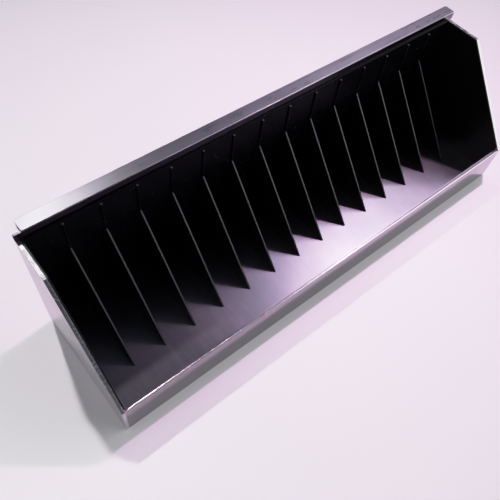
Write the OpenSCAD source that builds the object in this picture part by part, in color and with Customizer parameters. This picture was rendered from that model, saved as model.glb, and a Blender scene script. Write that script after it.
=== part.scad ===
// Desktop rack with a row of thin sloping dividers between two end panels.
// The origin is the centre of the base: X runs along the rack, Y towards its back, Z up.

/* [Compartments] */
// Number of dividers
divider_count = 14; // [2:1:14]
// Distance from one divider to the next
pitch = 20; // [12:0.5:30]
// Distance from an end compartment's wall to the middle of its divider
end_gap = 18.85; // [10:0.05:30]
// Clear depth, from the front flange to the back liner
inner_depth = 71.8; // [55:0.1:110]

/* [End panels] */
// Height of the end panels
side_h = 81.1; // [66:0.1:110]
// Thickness of an aluminium end panel
side_t = 1.8; // [1:0.1:3]
// Thickness of an end panel's black liner
side_liner_t = 0.9; // [0.5:0.1:2]
// Depth of the panel's level top, from the liner forwards
side_top_depth = 23.1; // [12:0.1:34]
// How far an end panel reaches past the back liner's face
side_rear_reach = 3.1; // [2.7:0.1:5]

/* [Tray] */
// Height of the tray's upper face above the table
floor_h = 5.5; // [5.2:0.1:9]
// Thickness of the tray's floor
floor_t = 1.2; // [1:0.1:1.5]
// Thickness of the tray's upturned front flange
flange_t = 1; // [0.6:0.1:1.5]
// How far the flange stops below the top of the fascia
flange_drop = 0.6; // [0.2:0.1:2]
// Inner radius of the bend between the floor and the flange
bend_r = 1.2; // [0.5:0.1:3]
// Thickness of the front fascia
fascia_t = 1.5; // [1:0.1:3]
// Height of the front fascia
fascia_h = 25.3; // [18:0.1:34]

/* [Dividers] */
// Thickness of a divider
divider_t = 1.2; // [0.8:0.1:2]
// Distance from the front flange to a divider's front corner
divider_front = 21.9; // [10:0.1:32]
// Height of a divider's sloping blade at its back edge
blade_h = 54.4; // [30:0.1:58]
// How far a divider's spine stands proud of the back liner
spine_proud = 1; // [0.5:0.1:2]
// How far a spine stops below the top of the back liner
spine_drop = 2.1; // [1:0.1:5]
// Length of the tab that holds a divider in the floor
tab_len = 8; // [4:0.5:12]
// Distance from a divider's front corner to its tab
tab_inset = 5; // [3:0.5:10]

/* [Back] */
// Thickness of the slotted black back liner
back_liner_t = 1; // [0.6:0.1:2]
// Thickness of the aluminium back panel
back_t = 1.6; // [1:0.1:2.5]

/* [Top rail] */
// How far the rail passes the left end panel
rail_over_left = 0.2; // [0:0.1:3]
// How far the rail passes the right end panel
rail_over_right = 1.4; // [0:0.1:3]
// Depth of the rail from front to back
rail_w = 7.4; // [6:0.1:14]
// Height of the rail without its cover
rail_h = 4.2; // [3.5:0.1:10]
// Thickness of the rail's walls
rail_t = 1.2; // [0.8:0.1:1.6]
// How far the rail's front stands behind the liner's face
rail_setback = 0.9; // [0.5:0.1:0.9]
// How far the rail's front wall runs on past its left end
rail_stub = 4.1; // [0:0.1:8]
// How far the rail's flange hangs down behind the back panel
rail_flange_h = 8; // [6:0.5:14]
// Thickness of the cover strip on the rail
cover_t = 0.8; // [0.5:0.1:1.5]
// Corner radius of the cover strip
cover_r = 1.1; // [0.4:0.1:2]

/* [Fixings] */
// Clearance between a tab or spine and its slot, on each side
slot_gap = 0.1; // [0.05:0.05:0.3]
// Clearance around a rivet's shank
rivet_gap = 0.03; // [0.02:0.01:0.1]
// Radius of a rivet's shank
rivet_r = 0.8; // [0.6:0.1:1]
// Radius of a rivet's head
rivet_head_r = 1.5; // [1.2:0.1:1.6]
// Height of a rivet's head
rivet_head_h = 0.7; // [0.5:0.1:1]
// How deep a blind rivet goes into the floor or an end panel
rivet_bite = 0.8; // [0.4:0.1:0.9]
// Number of rivets along the top rail
rail_rivet_count = 5; // [3:1:9]
// Distance from the rail's flange ends to its first rivets
rail_rivet_inset = 14; // [8:1:30]
// Thickness of a corner bracket
bracket_t = 0.6; // [0.5:0.1:0.8]
// Length of a corner bracket along the end panel
bracket_len = 14; // [10:1:20]
// Reach of a corner bracket under the floor
bracket_reach = 11; // [9:1:16]
// Distance from a floor rivet's head to the end of its bracket
bracket_margin = 1; // [0.5:0.5:3]
// Distance from a corner bracket's foot to the table
bracket_lift = 0.3; // [0.2:0.1:0.4]

/* [Hidden] */

$fn = 48;
// Extra length of a cutting tool past the face it opens
cut = 1;

// Clear length between the two end liners, and the length between the end panels
inner_len = (divider_count - 1) * pitch + 2 * end_gap;
tray_len = inner_len + 2 * side_liner_t;
outer_len = tray_len + 2 * side_t;
rail_len = outer_len + rail_over_left + rail_over_right;
// The rail is the longest piece, so it is centred and the body sits a little off its middle
body_x = (rail_over_left - rail_over_right) / 2;

// Depths, measured from the front face of the front flange
front_t = flange_t + fascia_t;
back_face_y = inner_depth + back_liner_t;
back_rear_y = back_face_y + back_t;
rail_front_y = inner_depth + rail_setback;
rail_rear_y = rail_front_y + rail_w;
overall_depth = front_t + rail_rear_y;
// Y of the flange's inner face, which all those depths start at
flange_y = front_t - overall_depth / 2;

rail_z = side_h;
floor_under_z = floor_h - floor_t;
spine_top_z = side_h - spine_drop;

// Places of the four corner brackets
bracket_front_y = bend_r + bracket_margin;
bracket_rear_y = back_face_y - bracket_len - bracket_margin;
// Height of the rivets that hold the brackets to the end panels
end_rivet_z = (bracket_lift + floor_under_z - bracket_t) / 2;
// Distance from an end panel to its brackets' floor rivets
floor_rivet_in = bracket_reach - rivet_head_r - bracket_margin;

// A solid drawn in (Y, Z) and stretched over len along X, centred on x = 0
module along_x(len) {
    rotate([90, 0, 90]) translate([0, 0, -len / 2]) linear_extrude(len) children();
}

// Everything but the rail: moves from the flange's face and the body's middle to the rack's frame
module on_body() {
    translate([body_x, flange_y, 0]) children();
}

// Outline of an end panel from y_front back to y_rear and from z_low up
module side_outline(y_front, y_rear, z_low) {
    top_y = inner_depth - side_top_depth;
    slope = (side_h - fascia_h) / (top_y + front_t);
    lip_z = fascia_h + (y_front + front_t) * slope;
    polygon([
        [y_front, z_low], [y_rear, z_low], [y_rear, side_h], [top_y, side_h], [y_front, lip_z]
    ]);
}

// side is -1 for the left end and 1 for the right
module side_panel(side) {
    inside_x = tray_len / 2;
    color("silver") on_body() difference() {
        translate([side * (inside_x + side_t / 2), 0, 0]) along_x(side_t)
            side_outline(-front_t, inner_depth + side_rear_reach, 0);
        for (y = [bracket_front_y, bracket_rear_y])
            translate([side * (inside_x - cut), y + bracket_len / 2, end_rivet_z])
                rotate([0, side * 90, 0]) cylinder(r = rivet_r + rivet_gap, h = rivet_bite + cut);
    }
}

module side_liner(side) {
    color([0.05, 0.05, 0.06]) on_body()
        translate([side * (inner_len + side_liner_t) / 2, 0, 0]) along_x(side_liner_t)
            side_outline(0, inner_depth, floor_h);
}

// Floor with its front edge bent up behind the fascia
module tray_profile() {
    flange_top = fascia_h - flange_drop;
    out_r = bend_r + floor_t;
    translate([bend_r, floor_under_z]) square([back_face_y - bend_r, floor_t]);
    translate([-flange_t, floor_h + bend_r]) square([flange_t, flange_top - floor_h - bend_r]);
    // The bend: an outer quarter round less an inner one
    intersection() {
        difference() {
            translate([bend_r, floor_h + bend_r]) scale([(bend_r + flange_t) / out_r, 1]) circle(out_r);
            translate([bend_r, floor_h + bend_r]) circle(bend_r);
        }
        translate([-flange_t, floor_under_z]) square([bend_r + flange_t, out_r]);
    }
}

function divider_x(i) = -inner_len / 2 + end_gap + i * pitch;

module floor_tray() {
    color([0.72, 0.7, 0.76]) on_body() difference() {
        along_x(tray_len) tray_profile();
        for (i = [0 : divider_count - 1])
            translate([divider_x(i) - divider_t / 2 - slot_gap, divider_front + tab_inset - slot_gap,
                       floor_under_z - cut])
                cube([divider_t + 2 * slot_gap, tab_len + 2 * slot_gap, floor_t + 2 * cut]);
        floor_rivet_places() translate([0, 0, floor_under_z - cut])
            cylinder(r = rivet_r + rivet_gap, h = cut + rivet_bite);
        // The end liners stand on the floor, so the flange is cut back behind them
        for (side = [-1, 1])
            translate([side * (inner_len + side_liner_t) / 2 - side_liner_t / 2, 0, floor_h])
                cube([side_liner_t, bend_r, bend_r]);
    }
}

module front_fascia() {
    top_r = fascia_t / 2;
    color([0.62, 0.6, 0.66]) on_body() along_x(tray_len) translate([-front_t, 0]) {
        square([fascia_t, fascia_h - top_r]);
        translate([top_r, fascia_h - top_r]) circle(top_r);
    }
}

module back_panel() {
    color("silver") on_body() difference() {
        translate([-tray_len / 2, back_face_y, 0]) cube([tray_len, back_t, side_h]);
        rail_rivet_places() translate([0, 0, -back_t - cut])
            cylinder(r = rivet_r + rivet_gap, h = back_t + 2 * cut);
    }
}

module back_liner() {
    slot_w = divider_t + 2 * slot_gap;
    color([0.03, 0.03, 0.04]) on_body() difference() {
        translate([-tray_len / 2, inner_depth, floor_h]) cube([tray_len, back_liner_t, side_h - floor_h]);
        for (i = [0 : divider_count - 1])
            translate([divider_x(i) - slot_w / 2, inner_depth - cut, floor_h - cut])
                cube([slot_w, back_liner_t + 2 * cut, spine_top_z + slot_gap - floor_h + cut]);
    }
}

// One divider: a sloping blade, a spine in the liner's slot and a tab in the floor's slot
module divider(i) {
    spine_y = inner_depth - spine_proud;
    color([0.08, 0.08, 0.09]) on_body() translate([divider_x(i), 0, 0]) along_x(divider_t) {
        polygon([
            [divider_front, floor_h], [back_face_y, floor_h], [back_face_y, spine_top_z],
            [spine_y, spine_top_z], [spine_y, floor_h + blade_h]
        ]);
        translate([divider_front + tab_inset, floor_under_z]) square([tab_len, floor_t]);
    }
}

// Channel with a low front wall, a floor on the back panels and a flange behind them
module rail_profile() {
    top_z = rail_z + rail_h;
    translate([rail_front_y, rail_z]) square([rail_w, rail_t]);
    translate([rail_rear_y - rail_t, rail_z]) square([rail_t, rail_h]);
    translate([back_rear_y, rail_z - rail_flange_h]) square([rail_t, rail_flange_h]);
    translate([rail_front_y, rail_z]) square([rail_t, rail_h]);
}

module top_rail() {
    color([0.5, 0.48, 0.55]) translate([0, flange_y, 0]) {
        difference() {
            translate([rail_stub / 2, 0, 0]) along_x(rail_len - rail_stub) rail_profile();
            // The flange hangs between the end panels
            for (side = [-1, 1])
                translate([body_x + side * (tray_len / 2 + rail_len / 2), back_rear_y + rail_t / 2,
                           rail_z - rail_flange_h / 2 - cut / 2])
                    cube([rail_len, rail_t + 2 * cut, rail_flange_h + cut], center = true);
            translate([body_x, 0, 0]) rail_rivet_places() translate([0, 0, -cut])
                cylinder(r = rivet_r + rivet_gap, h = rail_t + 2 * cut);
        }
        translate([-rail_len / 2, rail_front_y, rail_z]) cube([rail_stub + cut, rail_t, rail_h]);
    }
}

// Thin strip that closes the rail, with rounded corners
module rail_cover() {
    len = rail_len - rail_stub;
    color([0.85, 0.83, 0.88])
        translate([rail_len / 2 - len, flange_y + rail_front_y, rail_z + rail_h]) linear_extrude(cover_t) {
            translate([cover_r, 0]) square([len - 2 * cover_r, rail_w]);
            translate([0, cover_r]) square([len, rail_w - 2 * cover_r]);
            for (x = [cover_r, len - cover_r], y = [cover_r, rail_w - cover_r])
                translate([x, y]) circle(cover_r);
        }
}

// Places its children, whose z axis points out of the back, at each rivet of the rail's flange
module rail_rivet_places() {
    first_x = -tray_len / 2 + rail_rivet_inset;
    step = (tray_len - 2 * rail_rivet_inset) / (rail_rivet_count - 1);
    for (i = [0 : rail_rivet_count - 1])
        translate([first_x + i * step, back_rear_y, rail_z - rail_flange_h / 2])
            rotate([-90, 0, 0]) children();
}

// Places its children, which point up, at each rivet that holds a bracket to the floor
module floor_rivet_places() {
    for (side = [-1, 1], y = [bracket_front_y, bracket_rear_y])
        translate([side * (tray_len / 2 - floor_rivet_in), y + bracket_len / 2, 0]) children();
}

// A rivet along z: its head lies below z = 0 and its shank goes up
module rivet(shank) {
    cylinder(r = rivet_r, h = shank);
    translate([0, 0, -rivet_head_h]) cylinder(r1 = rivet_head_r * 0.75, r2 = rivet_head_r, h = rivet_head_h);
}

// side is -1 for the left end and 1 for the right; y is the bracket's front edge
module corner_bracket(side, y) {
    color("gainsboro") on_body() translate([side * tray_len / 2, y, 0]) difference() {
        union() {
            translate([side > 0 ? -bracket_reach : 0, 0, floor_under_z - bracket_t])
                cube([bracket_reach, bracket_len, bracket_t]);
            translate([side > 0 ? -bracket_t : 0, 0, bracket_lift])
                cube([bracket_t, bracket_len, floor_under_z - bracket_lift]);
        }
        translate([-side * floor_rivet_in, bracket_len / 2, 0])
            cylinder(r = rivet_r + rivet_gap, h = floor_h);
        translate([-side * (bracket_t + cut), bracket_len / 2, end_rivet_z])
            rotate([0, side * 90, 0]) cylinder(r = rivet_r + rivet_gap, h = bracket_t + 2 * cut);
    }
}

module bracket_rivets() {
    color("whitesmoke") on_body() {
        floor_rivet_places() translate([0, 0, floor_under_z - bracket_t])
            rivet(bracket_t + rivet_bite);
        for (side = [-1, 1], y = [bracket_front_y, bracket_rear_y])
            translate([side * (tray_len / 2 - bracket_t), y + bracket_len / 2, end_rivet_z])
                rotate([0, side * 90, 0]) rivet(bracket_t + rivet_bite);
    }
}

module rail_rivets() {
    color("whitesmoke") on_body() rail_rivet_places() translate([0, 0, rail_t]) mirror([0, 0, 1])
        rivet(rail_t + back_t);
}

side_panel(-1);  // side_panel_left
side_panel(1);  // side_panel_right
side_liner(-1);  // side_liner_left
side_liner(1);  // side_liner_right
floor_tray();
front_fascia();
back_panel();
back_liner();
top_rail();
rail_cover();
divider(0);  // divider_01
divider(1);  // divider_02
divider(2);  // divider_03
divider(3);  // divider_04
divider(4);  // divider_05
divider(5);  // divider_06
divider(6);  // divider_07
divider(7);  // divider_08
divider(8);  // divider_09
divider(9);  // divider_10
divider(10);  // divider_11
divider(11);  // divider_12
divider(12);  // divider_13
divider(13);  // divider_14
corner_bracket(-1, bracket_front_y);  // corner_bracket_front_left
corner_bracket(1, bracket_front_y);  // corner_bracket_front_right
corner_bracket(-1, bracket_rear_y);  // corner_bracket_rear_left
corner_bracket(1, bracket_rear_y);  // corner_bracket_rear_right
bracket_rivets();
rail_rivets();
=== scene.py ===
import math

import bmesh
import bpy
from mathutils import Matrix, Vector


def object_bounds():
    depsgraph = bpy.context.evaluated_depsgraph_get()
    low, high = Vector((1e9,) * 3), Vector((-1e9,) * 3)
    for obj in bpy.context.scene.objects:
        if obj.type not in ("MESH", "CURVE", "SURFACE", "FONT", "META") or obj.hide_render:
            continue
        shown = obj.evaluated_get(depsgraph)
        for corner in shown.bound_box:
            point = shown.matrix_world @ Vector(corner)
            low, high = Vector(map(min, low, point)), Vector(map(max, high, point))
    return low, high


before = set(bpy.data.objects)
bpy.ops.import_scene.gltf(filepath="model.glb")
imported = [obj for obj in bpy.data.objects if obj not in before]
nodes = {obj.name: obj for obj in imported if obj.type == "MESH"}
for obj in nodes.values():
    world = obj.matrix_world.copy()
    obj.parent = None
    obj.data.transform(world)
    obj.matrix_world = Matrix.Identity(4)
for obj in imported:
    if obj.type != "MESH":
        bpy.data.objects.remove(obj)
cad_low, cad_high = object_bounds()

MM = 0.001


# ---------------------------------------------------------------- shader maths

class Socket:
    """A node's output. Python's operators on it add Math nodes."""

    def __init__(self, finish, socket):
        self.finish = finish
        self.socket = socket

    def __add__(self, other):
        return self.finish.math("ADD", self, other)

    def __radd__(self, other):
        return self.finish.math("ADD", other, self)

    def __sub__(self, other):
        return self.finish.math("SUBTRACT", self, other)

    def __rsub__(self, other):
        return self.finish.math("SUBTRACT", other, self)

    def __mul__(self, other):
        return self.finish.math("MULTIPLY", self, other)

    def __rmul__(self, other):
        return self.finish.math("MULTIPLY", other, self)

    def __abs__(self):
        return self.finish.math("ABSOLUTE", self)


class Finish:
    """A node tree: a material's, or the room's."""

    def __init__(self, tree):
        self.tree = tree
        self.tree.nodes.clear()

    def add(self, kind, settings, inputs, output=0):
        """Adds a node, sets its settings and then its sockets, and gives one of its outputs."""
        node = self.tree.nodes.new(kind)
        for name, value in settings.items():
            setattr(node, name, value)
        for name, value in inputs.items():
            if isinstance(value, Socket):
                self.tree.links.new(value.socket, node.inputs[name])
            else:
                node.inputs[name].default_value = value
        if len(node.outputs):
            return Socket(self, node.outputs[output])

    def math(self, operation, *values):
        """A Math node on one or two values."""
        return self.add("ShaderNodeMath", {"operation": operation}, dict(enumerate(values)))

    def larger(self, first, second):
        """The larger of two values."""
        return self.math("MAXIMUM", first, second)

    def place(self):
        """Position on the piece, in metres."""
        return self.add("ShaderNodeTexCoord", {}, {}, "Object")

    def part(self, vector, axis):
        """A vector's X, Y or Z."""
        return self.add("ShaderNodeSeparateXYZ", {}, {0: vector}, axis)

    def facing(self, axis):
        """How squarely the surface faces along X, Y or Z, from -1 to 1."""
        return self.part(self.add("ShaderNodeTexCoord", {}, {}, "Normal"), axis)

    def scaled(self, vector, factors):
        """The vector with each of its axes multiplied."""
        return self.add("ShaderNodeVectorMath", {"operation": "MULTIPLY"}, {0: vector, 1: factors})

    def moved(self, vector, offset):
        """The vector shifted, which gives a noise another pattern."""
        return self.add("ShaderNodeVectorMath", {"operation": "ADD"}, {0: vector, 1: offset})

    def noise(self, vector, scale, detail=2.0, rough=0.5, bend=0.0):
        """Cloudy noise from 0 to 1, with scale patches to the metre."""
        inputs = {
            "Vector": vector,
            "Scale": scale,
            "Detail": detail,
            "Roughness": rough,
            "Distortion": bend,
        }
        return self.add("ShaderNodeTexNoise", {}, inputs, "Fac")

    def step(self, value, low, high, start=0.0, end=1.0):
        """Goes smoothly from start to end as value goes from low to high."""
        settings = {"interpolation_type": "SMOOTHSTEP"}
        inputs = {"Value": value, "From Min": low, "From Max": high, "To Min": start, "To Max": end}
        return self.add("ShaderNodeMapRange", settings, inputs, "Result")

    def mix(self, share, first, second):
        """Colour that goes from first to second as share goes from 0 to 1."""
        return self.add("ShaderNodeMix", {"data_type": "RGBA"}, {0: share, 6: first, 7: second}, 2)

    def bump(self, height, strength, depth):
        """Normal of a surface that stands up by height times depth, in millimetres."""
        inputs = {"Height": height, "Strength": strength, "Distance": depth * MM}
        return self.add("ShaderNodeBump", {}, inputs, "Normal")

    def surface(self, sockets):
        """The material's shader, with the values or links of its sockets."""
        shader = self.add("ShaderNodeBsdfPrincipled", {}, sockets, "BSDF")
        self.add("ShaderNodeOutputMaterial", {}, {"Surface": shader})


def new_finish(name):
    material = bpy.data.materials.new(name)
    material.use_nodes = True
    return material, Finish(material.node_tree)


def shade(red, green, blue):
    """A colour given as 0 to 255 on screen, as the linear colour that a socket takes."""
    def linear(level):
        level /= 255
        return level / 12.92 if level <= 0.04045 else ((level + 0.055) / 1.055) ** 2.4
    return linear(red), linear(green), linear(blue), 1.0


# ---------------------------------------------------------------- wear and dust

# Patches of each pattern to the metre
HAIR = 6500
BRUSH_LINES = 1300
STAINS = 28
SMUDGES = 75
DENTS = 330
ORANGE_PEEL = 900
SAW_MARKS = 900
DUST = 2600
RUBBED_SHEET = 60
RUBBED_DIVIDER = 70
ZINC_CRYSTALS = 700
ZINC_CLOUDS = 220
TABLE_CLOUDS = 2.2
TABLE_GRAIN = 900


def scratches(finish, place, scale, width, seed):
    """Thin wandering lines, broken up so that each is short."""
    lines = finish.noise(finish.moved(place, (seed, -seed, seed)), scale, detail=1.5, rough=0.4, bend=0.6)
    broken = finish.noise(finish.moved(place, (-seed, seed, 0.5 * seed)), scale * 2.3)
    line = 1 - finish.step(abs(lines - 0.5), low=0.0, high=width)
    return line * finish.step(broken, low=0.52, high=0.6)


def dust_specks(finish, place, least):
    """Small specks, fewer with a higher least."""
    return finish.step(finish.noise(place, DUST, detail=1.0), low=least, high=0.8)


# ---------------------------------------------------------------- finishes

# What each axis is multiplied by, to draw noise out into lines: brushed along the rack,
# brushed from front to back, and sawn across a divider's thickness
ALONG_X = (0.012, 1.0, 1.0)
ALONG_Y = (1.0, 0.012, 1.0)
ACROSS_THE_EDGE = (60, 1, 1)


def brushed(name, light, dark, grain, rough, depth=1.0, wear=1.0, clouds=0.4, dents=0.0, painted_highlight=0.0,
            reach=0.5):
    """Brushed aluminium, coloured from dark to light, with its lines along grain.

    depth is how much the lines stand up, and wear how much the scratches do. clouds is how
    far the colour follows stains and not lines. dents roughen the cut edges that face up. The
    painted highlight share paints what leans back or up, where the sheet is curved or rounded,
    a paler and less metallic colour, a painted highlight, and makes it rougher. A reach over
    0.5 takes in what faces straight up or straight back as well.
    """
    material, finish = new_finish(name)
    place = finish.place()
    along = finish.scaled(place, grain)
    hair = finish.noise(along, HAIR, detail=3.0, rough=0.65)
    lines = finish.noise(along, BRUSH_LINES, detail=3.0, rough=0.6)
    stains = finish.noise(place, STAINS, detail=4.0, rough=0.55, bend=0.3)
    smudge = finish.noise(finish.moved(place, (3, 1, 2)), SMUDGES, detail=3.0, bend=0.8)
    long_scratch = scratches(finish, place, scale=90, width=0.006, seed=7.0)
    short_scratch = scratches(finish, place, scale=160, width=0.008, seed=3.0)
    scratch = finish.larger(long_scratch, 0.6 * short_scratch)
    tone = (1 - clouds) * (0.6 * lines + 0.4 * hair) + clouds * stains
    colour = finish.mix(finish.step(tone, low=0.3, high=0.7), dark, light)
    roughness = rough + 0.10 * (lines - 0.5) + 0.08 * (smudge - 0.5) + 0.12 * wear * scratch
    height = 0.6 * hair + 0.4 * lines - 0.5 * wear * scratch
    metal = 1.0
    if dents:
        top_edge = finish.step(finish.facing("Z"), low=0.8, high=0.97)
        dent = finish.noise(place, DENTS, detail=3.0, rough=0.6, bend=0.6)
        height = height + dents * top_edge * dent
    # Painted highlight: what leans back or up, where the sheet is curved or rounded, is painted paler and
    # less metallic
    if painted_highlight:
        not_ahead = finish.step(finish.facing("Y"), low=-0.97, high=-0.7)
        leaning = finish.step(abs(finish.facing("Z") - 0.5), low=reach, high=reach - 0.06)
        painted_highlight_mask = not_ahead * leaning
        metal = 1 - painted_highlight * painted_highlight_mask
        roughness = roughness + 0.16 * painted_highlight_mask
        colour = finish.mix(painted_highlight_mask, colour, shade(214, 204, 216))
    finish.surface({
        "Base Color": colour,
        "Metallic": metal,
        "Roughness": roughness,
        "Normal": finish.bump(height, strength=0.35 * depth, depth=0.03),
    })
    return material


def black_sheet(name, colour, rough, gloss):
    """Black lacquered sheet with faint rubbing marks and dust."""
    material, finish = new_finish(name)
    place = finish.place()
    orange_peel = finish.noise(place, ORANGE_PEEL)
    rubbed = finish.noise(finish.moved(place, (1, 2, 3)), RUBBED_SHEET, detail=4.0, rough=0.6, bend=0.5)
    dust = dust_specks(finish, place, least=0.74)
    scratch = scratches(finish, place, scale=110, width=0.006, seed=5.0)
    mark = finish.larger(0.35 * dust, 0.25 * scratch)
    finish.surface({
        "Base Color": finish.mix(mark, colour, shade(60, 58, 64)),
        "Roughness": rough + 0.12 * (rubbed - 0.5) + 0.2 * mark,
        "Specular IOR Level": gloss,
        "Normal": finish.bump(orange_peel - 0.6 * scratch, strength=0.12, depth=0.05),
    })
    return material


def divider_black(name):
    """Black lacquer on the faces, and bare cut metal only on the edges that face up: partly the real cut
    edge, partly a painted highlight, as cut edges that face other ways stay black, painted shade.
    """
    material, finish = new_finish(name)
    place = finish.place()
    # Painted highlight and painted shade: bare metal only where a cut edge faces up; cut edges facing
    # other ways stay black
    bare_edge_and_highlight = finish.step(finish.facing("Z"), low=0.6, high=0.66)
    sawn = finish.noise(finish.scaled(place, ACROSS_THE_EDGE), SAW_MARKS)
    rubbed = finish.noise(place, RUBBED_DIVIDER, detail=3.0, rough=0.6, bend=0.5)
    dust = dust_specks(finish, place, least=0.75)
    scratch = scratches(finish, place, scale=100, width=0.006, seed=4.0)
    mark = finish.larger(0.3 * dust, 0.2 * scratch)
    face = finish.mix(mark, shade(4, 4, 5), shade(60, 58, 62))
    bare = finish.mix(sawn, shade(58, 58, 61), shade(84, 83, 88))
    finish.surface({
        "Base Color": finish.mix(bare_edge_and_highlight, face, bare),
        "Metallic": 0.4 * bare_edge_and_highlight,
        "Specular IOR Level": 0.2,
        "Roughness": 0.26 + 0.1 * (rubbed - 0.5) + 0.14 * bare_edge_and_highlight + 0.15 * mark,
        "Normal": finish.bump(sawn * bare_edge_and_highlight - 0.5 * scratch, strength=0.2, depth=0.04),
    })
    return material


def zinc(name, light, dark, rough):
    """Zinc-plated steel with its mottled crystals."""
    material, finish = new_finish(name)
    place = finish.place()
    crystal = finish.add("ShaderNodeTexVoronoi", {}, {"Vector": place, "Scale": ZINC_CRYSTALS}, "Distance")
    cloud = finish.noise(place, ZINC_CLOUDS, detail=3.0)
    tone = 0.6 * crystal + 0.4 * cloud
    finish.surface({
        "Base Color": finish.mix(tone, dark, light),
        "Metallic": 1.0,
        "Roughness": rough + 0.18 * (cloud - 0.5),
        "Normal": finish.bump(tone, strength=0.25, depth=0.05),
    })
    return material


panel = brushed(
    "panel_aluminium",
    light=shade(212, 206, 213),
    dark=shade(188, 182, 190),
    grain=ALONG_Y,
    rough=0.24,
    wear=1.2,
    dents=30.0,
)
back = brushed(
    "back_aluminium",
    light=shade(184, 180, 186),
    dark=shade(160, 156, 163),
    grain=ALONG_X,
    rough=0.3,
    clouds=0.5,
)
tray = brushed(
    "tray_aluminium",
    light=shade(136, 122, 136),
    dark=shade(112, 107, 122),
    grain=ALONG_Y,
    rough=0.32,
    depth=0.85,
    wear=0.5,
    clouds=0.6,
    # the curve up to the fascia is painted paler: painted highlight
    painted_highlight=0.8,
)
fascia = brushed(
    "fascia_aluminium",
    light=shade(151, 143, 151),
    dark=shade(133, 126, 134),
    grain=ALONG_X,
    rough=0.08,
    depth=0.3,
    # the rounded top is painted paler: painted highlight
    painted_highlight=0.15,
    reach=0.57,
)
rail = brushed(
    "rail_aluminium",
    light=shade(104, 98, 108),
    dark=shade(86, 81, 90),
    grain=ALONG_X,
    rough=0.20,
)
cover = brushed(
    "cover_aluminium",
    light=shade(190, 178, 194),
    dark=shade(172, 161, 176),
    grain=ALONG_X,
    rough=0.29,
    depth=0.2,
    wear=0.0,
)
liner = black_sheet("liner_black", shade(4, 4, 7), rough=0.24, gloss=0.12)
side_liner = black_sheet("side_liner_black", shade(4, 3, 5), rough=0.3, gloss=0.35)
divider = divider_black("divider_black")
steel = zinc("bracket_steel", light=shade(205, 207, 210), dark=shade(170, 173, 178), rough=0.34)
rivet = zinc("rivet_aluminium", light=shade(222, 222, 224), dark=shade(190, 190, 194), rough=0.28)

# How each node's name starts, with its finish and how far its edges are eased, in millimetres
FINISH_OF = {
    "side_panel": (panel, 0.25),
    "side_liner": (side_liner, 0.12),
    "floor_tray": (tray, 0.12),
    "front_fascia": (fascia, 0.15),
    "back_panel": (back, 0.15),
    "back_liner": (liner, 0.08),
    "top_rail": (rail, 0.12),
    "rail_cover": (cover, 0.2),
    "divider": (divider, 0.3),
    "corner_bracket": (steel, 0.12),
    "bracket_rivets": (rivet, 0.15),
    "rail_rivets": (rivet, 0.15),
}

# How far apart split corners may be, in millimetres
SPLIT_CORNER = 0.001
FLAT_ANGLE = math.radians(1)
SHARP_ANGLE = math.radians(35)


def ease_edges(piece, radius):
    """Joins the mesh's split corners and rounds its sharp edges."""
    weld = piece.modifiers.new("joined", "WELD")
    weld.merge_threshold = SPLIT_CORNER * MM
    flat = piece.modifiers.new("whole_faces", "DECIMATE")
    flat.decimate_type = "DISSOLVE"
    flat.angle_limit = FLAT_ANGLE
    round_edge = piece.modifiers.new("eased", "BEVEL")
    round_edge.width = radius * MM
    round_edge.segments = 2
    round_edge.limit_method = "ANGLE"
    round_edge.angle_limit = SHARP_ANGLE
    round_edge.harden_normals = True


for name, piece in nodes.items():
    for start, (material, radius) in FINISH_OF.items():
        if name.startswith(start):
            piece.data.materials.clear()
            piece.data.materials.append(material)
            ease_edges(piece, radius)


# ---------------------------------------------------------------- table

# In metres from the rack's middle
TABLE_EDGE = 4
GLOW_STARTS = 0.3
GLOW_FULL = 1.0


def table_finish():
    """Pale smooth table that gives a little light of its own away from the rack."""
    material, finish = new_finish("pale_table")
    place = finish.place()
    cloud = finish.noise(place, TABLE_CLOUDS, detail=3.0, bend=0.4)
    grain = finish.noise(place, TABLE_GRAIN)
    away = finish.add("ShaderNodeVectorMath", {"operation": "LENGTH"}, {0: place}, "Value")
    far = finish.step(away, low=GLOW_STARTS, high=GLOW_FULL)
    finish.surface({
        "Emission Color": finish.mix(far, shade(0, 0, 0), shade(178, 172, 177)),
        "Emission Strength": 1.0,
        "Base Color": finish.mix(cloud, shade(228, 223, 228), shade(237, 232, 237)),
        "Roughness": 0.55 + 0.05 * (grain - 0.5),
        "Specular IOR Level": 0.3,
        "Normal": finish.bump(grain, strength=0.05, depth=0.05),
    })
    return material


def build_table():
    mesh = bmesh.new()
    bmesh.ops.create_grid(mesh, x_segments=8, y_segments=8, size=TABLE_EDGE)
    data = bpy.data.meshes.new("table_top")
    mesh.to_mesh(data)
    mesh.free()
    table = bpy.data.objects.new("table_top", data)
    bpy.context.scene.collection.objects.link(table)
    table.location.z = cad_low[2]
    data.materials.append(table_finish())


build_table()


# ---------------------------------------------------------------- light

def turned_to(place, target):
    """The placing of a lamp or camera at place that points at target, both in millimetres."""
    place = Vector(place) * MM
    aim = Vector(target) * MM - place
    return Matrix.Translation(place) @ aim.to_track_quat("-Z", "Y").to_matrix().to_4x4()


def soft_light(name, place, target, size, power, colour, spread=180, lights="all", only=None):
    """A round soft lamp at place that shines at target, in millimetres. It can light
    only the matt surfaces, or only leave its glare on the metal and the lacquer, or
    shine on only one node."""
    lamp = bpy.data.lights.new(name, "AREA")
    lamp.shape = "DISK"
    lamp.size = size * MM
    lamp.spread = math.radians(spread)
    lamp.energy = power
    lamp.color = colour
    holder = bpy.data.objects.new(name, lamp)
    holder.visible_glossy = lights != "matt"
    holder.visible_diffuse = lights != "glare"
    if only:
        lit = bpy.data.collections.new(name)
        lit.objects.link(nodes[only])
        holder.light_linking.receiver_collection = lit
    bpy.context.scene.collection.objects.link(holder)
    holder.matrix_world = turned_to(place, target)


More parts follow.
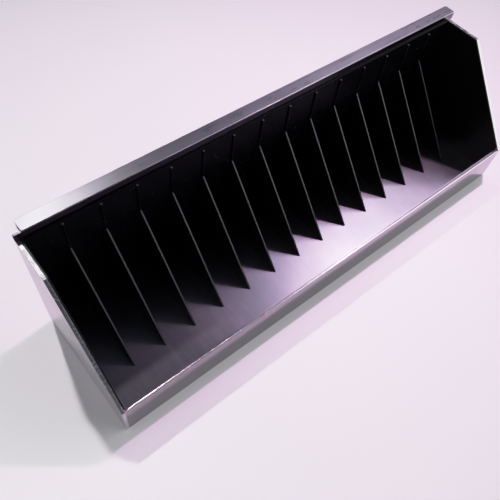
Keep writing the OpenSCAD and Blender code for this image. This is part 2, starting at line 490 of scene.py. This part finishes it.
# Where the lamps are, in millimetres
NEAR = (319, 85, 566)
NEARER_RIGHT = (350, 85, 566)
BEHIND = (150, 1345, 1950)
BEHIND_LEFT = (-640, 1345, 1950)
SIDE = (900, 310, 1235)

# What they shine at
MIDDLE = (0, 0, 0)
PAST_LEFT_END = (-190, -10, 0)
RIGHT_OF_MIDDLE = (60, 10, 0)

soft_light(
    "near_glare", NEARER_RIGHT, MIDDLE,
    size=32, power=0.92, colour=(1.0, 0.78, 0.97), lights="glare",
)
soft_light(
    "near_glow", NEAR, RIGHT_OF_MIDDLE,
    size=26, power=0.66, colour=(1.0, 0.57, 0.97), spread=75, lights="matt",
)
soft_light(
    "back_glare", BEHIND, MIDDLE,
    size=110, power=4.0, colour=(0.92, 1.0, 0.95), lights="glare",
)
soft_light(
    "back_glow", BEHIND, PAST_LEFT_END,
    size=110, power=0.44, colour=(1.0, 0.98, 1.0), spread=20, lights="matt",
)
soft_light(
    "bead_glint", NEAR, MIDDLE,
    size=32, power=0.7, colour=(1.0, 0.9, 0.97), lights="glare", only="front_fascia",
)
soft_light(
    "bead_end_glint", BEHIND_LEFT, MIDDLE,
    size=160, power=30, colour=(1.0, 0.9, 0.88), lights="glare", only="front_fascia",
)
soft_light(
    "side_glow", SIDE, MIDDLE,
    size=560, power=4.9, colour=(0.88, 0.87, 1.0),
)


# Direction of the bright patch of the room, and how strong the dim light and the backdrop are
BRIGHT_SIDE = Vector((0.8, -0.45, 0.42)).normalized()
DIM_LIGHT = 0.075
BACKDROP_LIGHT = 0.95


def light_room():
    """A dim cool room with a bright patch at its front right, a paler left side, and a pale
    band along the horizon. What the camera sees of it is a plain pale backdrop."""
    world = bpy.data.worlds.new("studio")
    bpy.context.scene.world = world
    world.use_nodes = True
    room = Finish(world.node_tree)
    heading = room.add("ShaderNodeTexCoord", {}, {}, "Generated")
    left_side = room.step(room.part(heading, "X"), low=-0.25, high=-0.65, end=0.75)
    to_bright = {0: heading, 1: BRIGHT_SIDE}
    toward = room.add("ShaderNodeVectorMath", {"operation": "DOT_PRODUCT"}, to_bright, "Value")
    bright_side = room.step(toward, low=0.76, high=0.96, end=2.4)
    horizon = room.step(room.part(heading, "Z"), low=0.16, high=0.06, end=0.5)
    glow = left_side + bright_side + horizon
    colour = room.mix(room.step(glow, low=0.0, high=0.3), shade(198, 228, 240), shade(240, 244, 243))
    light = room.add("ShaderNodeBackground", {}, {"Color": colour, "Strength": DIM_LIGHT + glow})
    pale = {"Color": shade(238, 230, 236), "Strength": BACKDROP_LIGHT}
    backdrop = room.add("ShaderNodeBackground", {}, pale)
    seen = room.add("ShaderNodeLightPath", {}, {}, "Is Camera Ray")
    both = room.add("ShaderNodeMixShader", {}, {0: seen, 1: light, 2: backdrop})
    room.add("ShaderNodeOutputWorld", {}, {"Surface": both})


light_room()


# The brightest light that the view tells from white, as a multiple of full white
BRIGHTEST = 2
# Each level of light, and the level that it is shown at
SHOWN_LEVELS = ((0.3, 0.3), (0.6, 0.58), (0.8, 0.71), (1.0, 0.8), (1.3, 0.885), (1.6, 0.94))


def soften_highlights():
    """Keeps light up to about half of full white as it is, and eases brighter light in below white."""
    view = bpy.context.scene.view_settings
    view.view_transform = "Standard"
    view.use_curve_mapping = True
    curves = view.curve_mapping
    curves.white_level = (BRIGHTEST, BRIGHTEST, BRIGHTEST)
    curves.extend = "HORIZONTAL"
    all_colours = curves.curves[3]
    for light, shown in SHOWN_LEVELS:
        all_colours.points.new(light / BRIGHTEST, shown)
    curves.update()


soften_highlights()


# ---------------------------------------------------------------- camera

CAMERA_PLACE = (-172.77, -120.47, 284.56)
CAMERA_TARGET = (-42.17, 2.04, 0)
CAMERA_ROLL = math.radians(9.42)


def place_camera():
    lens = bpy.data.cameras.new("camera")
    lens.lens = 39.0
    lens.sensor_width = 36
    lens.shift_x = 0.0191
    lens.shift_y = 0.0297
    lens.clip_start = 0.01
    camera = bpy.data.objects.new("camera", lens)
    bpy.context.scene.collection.objects.link(camera)
    camera.matrix_world = turned_to(CAMERA_PLACE, CAMERA_TARGET) @ Matrix.Rotation(CAMERA_ROLL, 4, "Z")
    bpy.context.scene.camera = camera


place_camera()
